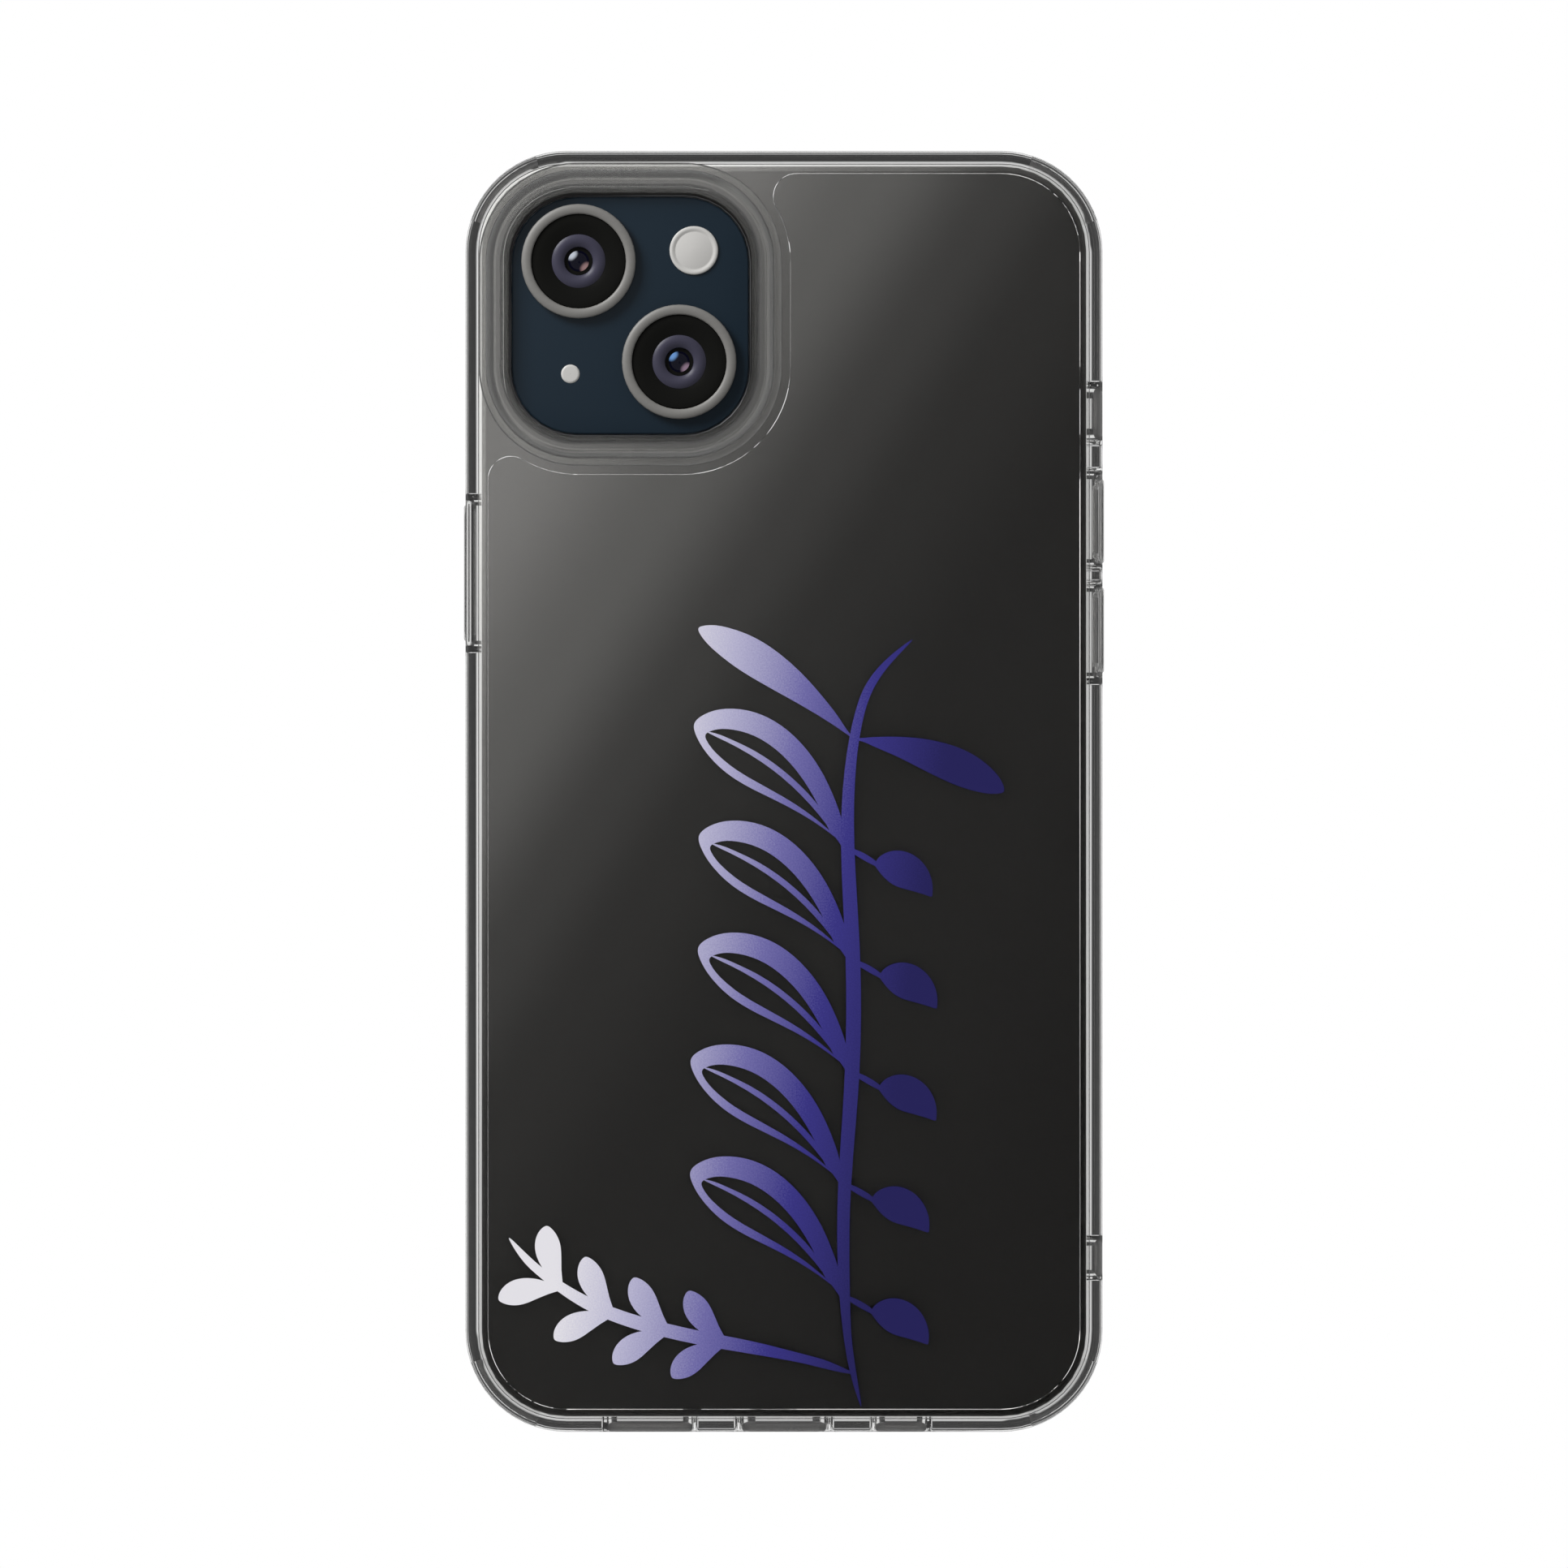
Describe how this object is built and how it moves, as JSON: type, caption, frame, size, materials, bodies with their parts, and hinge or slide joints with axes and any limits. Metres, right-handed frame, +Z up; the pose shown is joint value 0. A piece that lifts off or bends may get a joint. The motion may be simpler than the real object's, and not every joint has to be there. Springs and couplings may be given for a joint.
{
  "type": "phone case",
  "caption": "Clear hybrid phone cover: hard back panel with a printed leafy sprig, soft bumper with pressing button pads, raised camera guard ring and port openings.",
  "frame": {"origin": "centre of the inner face of the back panel, where the back of the phone rests", "axes": "+Z up the length of the cover towards the camera window, +Y from the back towards the open screen side, +X across it, to the right when the back is looked at"},
  "size_m": [0.0824, 0.0129, 0.165],
  "materials": {
    "clear_polycarbonate": "clear, glossy, hard",
    "clear_tpu": "clear, smooth, slightly grey and soft",
    "printed_ink": "cured ink, from white through lavender to deep indigo"
  },
  "bodies": {
    "case_body": {"back_panel": "clear_polycarbonate", "bumper_frame": "clear_tpu", "camera_guard_ring": "clear_tpu", "printed_artwork": "printed_ink", "power_button_web": "clear_tpu", "volume_up_web": "clear_tpu", "volume_down_web": "clear_tpu"},
    "power_button": {"power_button_cover": "clear_tpu"},
    "volume_up_button": {"volume_up_cover": "clear_tpu"},
    "volume_down_button": {"volume_down_cover": "clear_tpu"}
  },
  "joints": [
    {"name": "power_press", "type": "slide", "parent": "case_body", "child": "power_button", "axis": [1, 0, 0], "range_m": [0, 0.0004], "deforming": ["power_button_web"]},
    {"name": "volume_up_press", "type": "slide", "parent": "case_body", "child": "volume_up_button", "axis": [-1, 0, 0], "range_m": [0, 0.0004], "deforming": ["volume_up_web"]},
    {"name": "volume_down_press", "type": "slide", "parent": "case_body", "child": "volume_down_button", "axis": [-1, 0, 0], "range_m": [0, 0.0004], "deforming": ["volume_down_web"]}
  ]
}
